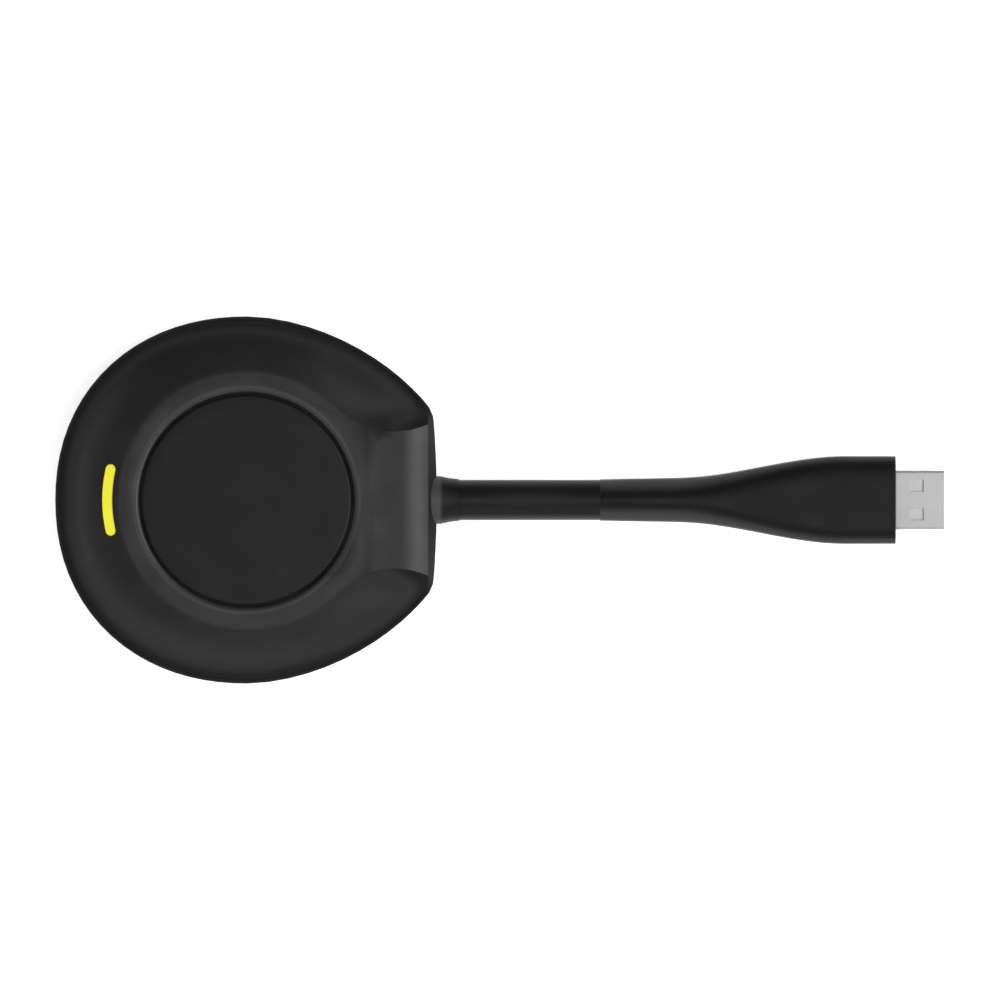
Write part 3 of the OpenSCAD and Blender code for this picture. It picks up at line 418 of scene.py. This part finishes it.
def near_axis(tree, radius, fade):
    """1 within this radius of the button's axis, and 0 a little outside it."""
    place = tree.nodes.new("ShaderNodeTexCoord")
    flat = tree.nodes.new("ShaderNodeMapping")
    flat.inputs["Scale"].default_value = (1, 1, 0)
    feed(tree, flat.inputs["Vector"], place.outputs["Object"])
    reach = tree.nodes.new("ShaderNodeVectorMath")
    reach.operation = "LENGTH"
    feed(tree, reach.inputs[0], flat.outputs["Vector"])
    return ramp(tree, reach.outputs["Value"], (radius + fade, radius))

# %% Define the changes over a piece
COARSE_ROUGHNESS = 0.95
BORE_MOUTH = 23 * MM
# The lighter ring at the bore's mouth is a painted highlight.
BORE_HIGHLIGHT_FADE = 0.4 * MM
BORE_HIGHLIGHT_GAIN = 1.5


def fed_by(shader, name):
    """The output that feeds one of the shader's sockets."""
    return shader.inputs[name].links[0].from_socket


def tint(material, factor):
    """Makes a finish lighter or darker by a factor that varies over the piece."""
    tree = material.node_tree
    shader = tree.nodes[SHADER]
    scaled = tree.nodes.new("ShaderNodeVectorMath")
    scaled.operation = "SCALE"
    feed(tree, scaled.inputs[0], fed_by(shader, "Base Color"))
    feed(tree, scaled.inputs["Scale"], factor)
    feed(tree, shader.inputs["Base Color"], scaled.outputs["Vector"])


def coarsen_and_shade_flanks(material, flank_shade_gain, steep_up, level_up):
    """Roughens a finish where it turns away from the top and darkens its colour there as painted
    shade; paints a highlight, a lighter ring, at the bore's mouth.
    """
    tree = material.node_tree
    shader = tree.nodes[SHADER]
    up = measured(tree, "ShaderNodeNewGeometry", "Normal", "Z")
    facing = ramp(tree, up, (steep_up, level_up), eased=True)
    mouth = near_axis(tree, BORE_MOUTH, BORE_HIGHLIGHT_FADE)
    share = calculate(tree, "MAXIMUM", facing, mouth)
    strength = ramp(tree, share, (0, 1), (flank_shade_gain, 1))
    tint(material, calculate(tree, "MULTIPLY_ADD", mouth, BORE_HIGHLIGHT_GAIN, strength))
    rougher = tree.nodes.new("ShaderNodeMix")
    rougher.inputs["A"].default_value = COARSE_ROUGHNESS
    feed(tree, rougher.inputs["B"], fed_by(shader, "Roughness"))
    feed(tree, rougher.inputs["Factor"], share)
    feed(tree, shader.inputs["Roughness"], rougher.outputs["Result"])


def paint_shoulder_highlight(material, gain, side_up, peak_up, top_up):
    """Paints a highlight on rounded edges: a lighter colour between the sides and the top."""
    tree = material.node_tree
    up = measured(tree, "ShaderNodeNewGeometry", "Normal", "Z")
    rise = ramp(tree, up, (side_up, peak_up), eased=True)
    fall = ramp(tree, up, (top_up, peak_up), eased=True)
    band = calculate(tree, "MULTIPLY", rise, fall)
    tint(material, ramp(tree, band, (0, 1), (1, gain)))


def paint_root_highlight(material, gain, end_x, fade):
    """Paints a highlight up to this place along X: a lighter colour there."""
    tree = material.node_tree
    along = measured(tree, "ShaderNodeTexCoord", "Object", "X")
    tint(material, ramp(tree, along, (end_x - fade, end_x), (gain, 1), eased=True))

# %% [markdown]
# ## Black plastics
#
# Four blacks lie side by side, and telling them apart is what makes the puck look real. The
# upper cover is satin with a fine spark texture, the lower one is coarser and more matt, the
# button is a slightly cooler black, and the lead, gland and boot are softer and smoother.
# One black for all would be quicker, but then the button and its ring would melt together.

# %% Make the black finishes
housing_black = finish_of(
    "housing_satin_black", (0.012, 0.012, 0.0126), rough=0.4, grain_mm=0.25, depth_mm=0.004,
    specular=0.34
)
lower_black = finish_of(
    "lower_matt_black", (0.004, 0.004, 0.0042), rough=0.75, grain_mm=0.3, depth_mm=0.01,
    specular=0.08
)
button_black = finish_of(
    "button_charcoal", (0.009, 0.009, 0.01), rough=0.46, grain_mm=0.22, depth_mm=0.003,
    specular=0.19
)
lead_black = finish_of(
    "lead_drawn_black", (0.008, 0.008, 0.0083), rough=0.4, grain_mm=0.3, depth_mm=0.006,
    stretch=(0.06, 1, 1), specular=0.18
)
boot_black = finish_of(
    "boot_soft_black", (0.005, 0.005, 0.0052), rough=0.4, grain_mm=0.3, depth_mm=0.004,
    specular=0.17
)
gland_black = finish_of(
    "gland_soft_black", (0.008, 0.008, 0.0083), rough=0.4, grain_mm=0.3, depth_mm=0.004,
    specular=0.18
)
foot_black = finish_of(
    "foot_rubber_black", (0.009, 0.009, 0.0092), rough=0.85, grain_mm=0.5, depth_mm=0.02,
    specular=0.3
)
# Painted shade on the cover's steep faces, and a painted highlight round the bore's mouth.
coarsen_and_shade_flanks(housing_black, flank_shade_gain=0.1, steep_up=0.65, level_up=0.9)
# Painted highlight on the boot's rounded shoulders.
paint_shoulder_highlight(boot_black, gain=9, side_up=0.35, peak_up=0.75, top_up=0.99)
# Painted highlight on the gland's root, where it meets the cover.
paint_root_highlight(gland_black, gain=8, end_x=40 * MM, fade=1 * MM)
dress(housing_black, made["upper_shell"])
dress(lower_black, made["lower_shell"])
dress(button_black, made["press_button"])
dress(lead_black, lead_cable)
dress(boot_black, boot)
dress(gland_black, made["lead_gland"])
dress(foot_black, made["rubber_foot"], "light_shroud")

# %% [markdown]
# ## The dark edge
#
# The steepest faces of the upper cover, down at the parting line, are as matt as the lower cover
# and take its darker black, so that the puck ends in one dark line all the way round; this darker
# line is painted shade. A fade by steepness alone would also catch the walls of the thumb hollows
# and the end face round the gland. So these faces are picked by where they lie too, and take the
# lower cover's finish as a second one.

# %% Darken the cover's edge
EDGE_UP = 0.64
EDGE_TOP = 11.2 * MM
END_ALONG = 0.9
cover = made["upper_shell"]
# The lower matt black on these faces is painted shade for the cover's dark edge.
cover.data.materials.append(lower_black)
edge_faces = 0
for face in cover.data.polygons:
    low_down = face.center.z < EDGE_TOP and face.center.xy.length > BORE_MOUTH
    if low_down and face.normal.z < EDGE_UP and face.normal.x < END_ALONG:
        face.material_index = 1
        edge_faces += 1
print("faces on the cover's edge:", edge_faces)

# %% [markdown]
# ## The light bar
#
# The bar is a milky yellow diffuser with small lamps behind it. Real light through it would
# need many samples and look the same from outside, so the surface glows a little by itself,
# in the same yellow that it reflects.

# %% Make the light bar's finish
BAR_YELLOW = (0.76, 0.71, 0.035)
BAR_GLOW = 0.38
bar_yellow = finish_of(
    "light_bar_yellow", BAR_YELLOW, rough=0.35, grain_mm=0.4, depth_mm=0.002, color_drift=0.04
)
bar_shader = bar_yellow.node_tree.nodes[SHADER]
bar_shader.inputs["Emission Color"].default_value = (*BAR_YELLOW, 1)
bar_shader.inputs["Emission Strength"].default_value = BAR_GLOW
dress(bar_yellow, made["light_bar_lens"])
print("light bar glow:", BAR_GLOW)

# %% [markdown]
# ## Metals
#
# The plug's shell is bright nickel over rolled sheet, brushed along its length. Screws and
# springs are plain zinc and steel, and the contacts are gilt. A metal has no colour under
# its gloss, so no paint-like mix would do. All use the same recipe with metal turned on, and
# the shell's grain is stretched along X.

# %% Make the metal finishes
shell_nickel = finish_of(
    "shell_nickel", (0.49, 0.49, 0.495), rough=0.5, grain_mm=0.12, depth_mm=0.001,
    color_drift=0.03, stretch=(0.08, 1, 1), metallic=1
)
screw_zinc = finish_of(
    "screw_zinc", (0.5, 0.51, 0.53), rough=0.35, grain_mm=0.2, depth_mm=0.002, metallic=1
)
spring_steel = finish_of(
    "spring_bright_steel", (0.56, 0.57, 0.58), rough=0.28, grain_mm=0.15, depth_mm=0.001,
    metallic=1
)
contact_gold = finish_of(
    "contact_gilt", (0.83, 0.62, 0.25), rough=0.25, grain_mm=0.2, depth_mm=0.001,
    color_drift=0.05, metallic=1
)
can_tin = finish_of(
    "shield_can_tin", (0.6, 0.6, 0.6), rough=0.32, grain_mm=1.2, depth_mm=0.002,
    color_drift=0.06, metallic=1
)
spreader_mill = finish_of(
    "spreader_mill_aluminium", (0.78, 0.79, 0.8), rough=0.4, grain_mm=0.2, depth_mm=0.002,
    color_drift=0.04, stretch=(0.05, 1, 1), metallic=1
)
dress(shell_nickel, made["plug_sleeve"])
dress(screw_zinc, "housing_screws", "stop_screws", "frame_screws", "board_screws")
dress(spring_steel, "return_springs")
dress(contact_gold, "plug_contacts", "antenna_left", "antenna_right")
dress(can_tin, "radio_module", "power_shield")
dress(spreader_mill, "heat_spreader")

# %% [markdown]
# ## Inside
#
# Little of the inside shows while the puck is closed, only the tongue and the contacts on it
# in the plug. The other parts could stay bare, but they are real and are seen when the puck
# is taken apart, so each has the finish that such a part has.

# %% Make the inner finishes
inner_grey = finish_of(
    "inner_grey_plastic", (0.035, 0.035, 0.037), rough=0.55, grain_mm=0.4, depth_mm=0.008
)
pale_plastic = finish_of(
    "pale_nylon", (0.74, 0.73, 0.68), rough=0.5, grain_mm=0.4, depth_mm=0.004, color_drift=0.04
)
# The tongue's grey is darker than the pale nylon: the darkening is painted shade from inside the
# plug's shell.
tongue_shaded_grey = finish_of(
    "tongue_grey_painted_shade", (0.54, 0.54, 0.53), rough=0.5, grain_mm=0.4, depth_mm=0.004,
    color_drift=0.04
)
chip_black = finish_of(
    "chip_epoxy", (0.02, 0.02, 0.021), rough=0.6, grain_mm=0.15, depth_mm=0.006
)
board_green = finish_of(
    "board_mask_green", (0.012, 0.085, 0.032), rough=0.38, grain_mm=0.9, depth_mm=0.004,
    color_drift=0.3
)
pad_grey = finish_of(
    "pad_silicone", (0.3, 0.34, 0.38), rough=0.8, grain_mm=0.5, depth_mm=0.01, color_drift=0.08
)
wire_red = finish_of(
    "wire_insulation_red", (0.25, 0.03, 0.02), rough=0.45, grain_mm=0.3, depth_mm=0.002,
    stretch=(0.1, 1, 1)
)
dress(inner_grey, "button_frame", "switch_case")
dress(pale_plastic, "switch_stem", "status_lamps", "board_header", "wire_plug", "plug_mould")
dress(tongue_shaded_grey, "plug_tongue")
dress(chip_black, "processor", "memory_chips", "power_inductors")
dress(board_green, "main_board")
dress(pad_grey, "thermal_pad")
dress(wire_red, "lead_wires", "plug_wires")

# %% [markdown]
# ## The free lead
#
# The lead is soft. A lead that ran out of the picture would need a coil for the rest of its
# length. This one shows from end to end, so nothing of it is put away.

# %% [markdown]
# ## The floor
#
# The puck lies on a pale page. A brighter lamp would make the page white, but it would make
# the puck grey too. So where the camera, a gloss or a glass looks at the floor, part of it
# glows by itself, and the rest still takes the puck's soft shadow.

# %% Lay the floor
FLOOR_SIZE = 8
FLOOR_COLOR = (0.8, 0.8, 0.8, 1)
FLOOR_GLOW = 0.7
WHITE = (1, 1, 1, 1)

bpy.ops.object.select_all(action="DESELECT")
bpy.ops.mesh.primitive_plane_add(size=FLOOR_SIZE)
floor = bpy.context.active_object
floor.name = "pale_floor"
floor_white = bpy.data.materials.new("floor_white")
floor_white.use_nodes = True
floor_tree = floor_white.node_tree
floor_shader = floor_tree.nodes[SHADER]
floor_shader.inputs["Base Color"].default_value = FLOOR_COLOR
floor_shader.inputs["Roughness"].default_value = 1
floor_shader.inputs["Specular IOR Level"].default_value = 0
floor_shader.inputs["Emission Color"].default_value = WHITE
rays = floor_tree.nodes.new("ShaderNodeLightPath").outputs
seen = calculate(floor_tree, "MAXIMUM", rays["Is Camera Ray"], rays["Is Glossy Ray"])
seen_through = calculate(floor_tree, "MAXIMUM", seen, rays["Is Transmission Ray"])
glow = calculate(floor_tree, "MULTIPLY", seen_through, FLOOR_GLOW)
feed(floor_tree, floor_shader.inputs["Emission Strength"], glow)
floor.data.materials.append(floor_white)
print("floor:", FLOOR_SIZE, "m")

# %% [markdown]
# ## The lamps
#
# Black plastic is drawn by what it mirrors, so one lamp overhead would leave most of it flat
# black. Four lamps share the work instead. A soft box overhead gives the flat ring and the
# button their even tone. A long low strip in front of the puck lightens the near half of the
# dome and leaves the far half dark. A weak strip beyond the light bar keeps that end from
# going black. A large soft box beyond the plug draws the light band where the ridge turns
# down to the lead. A dim surround fills what they leave. Together they light a level face
# with a strength of about 1, so that a colour renders about as it's written.

# %% Hang the lamps
AIM = Vector((0.03, 0, 0))
# Each row holds the lamp's name, its place, its width and height, and its power in watts.
LAMPS = [
    ("overhead_softbox", (0.06, -0.12, 1.3), 0.45, 0.45, 2.4),
    ("front_strip", (-0.3, -0.84, 0.6), 2.2, 0.7, 5.4),
    ("far_strip", (-0.88, 0.15, 0.6), 1.0, 0.35, 1.6),
    ("plug_side_softbox", (0.94, 0, 0.82), 1.3, 0.7, 14),
]
SURROUND = 0.08

for name, place, width, height, watts in LAMPS:
    bpy.ops.object.light_add(type="AREA", location=place)
    lamp = bpy.context.active_object
    lamp.name = name
    lamp.data.shape = "RECTANGLE"
    lamp.data.size = width
    lamp.data.size_y = height
    lamp.data.energy = watts
    lamp.rotation_euler = (AIM - Vector(place)).to_track_quat("-Z", "Y").to_euler()
    print(name, "at", round((AIM - Vector(place)).length, 2), "m")
world = bpy.data.worlds.new("dim_surround")
world.use_nodes = True
surround = world.node_tree.nodes["Background"]
surround.inputs["Color"].default_value = WHITE
surround.inputs["Strength"].default_value = SURROUND
bpy.context.scene.world = world
bpy.context.scene.view_settings.view_transform = "Standard"
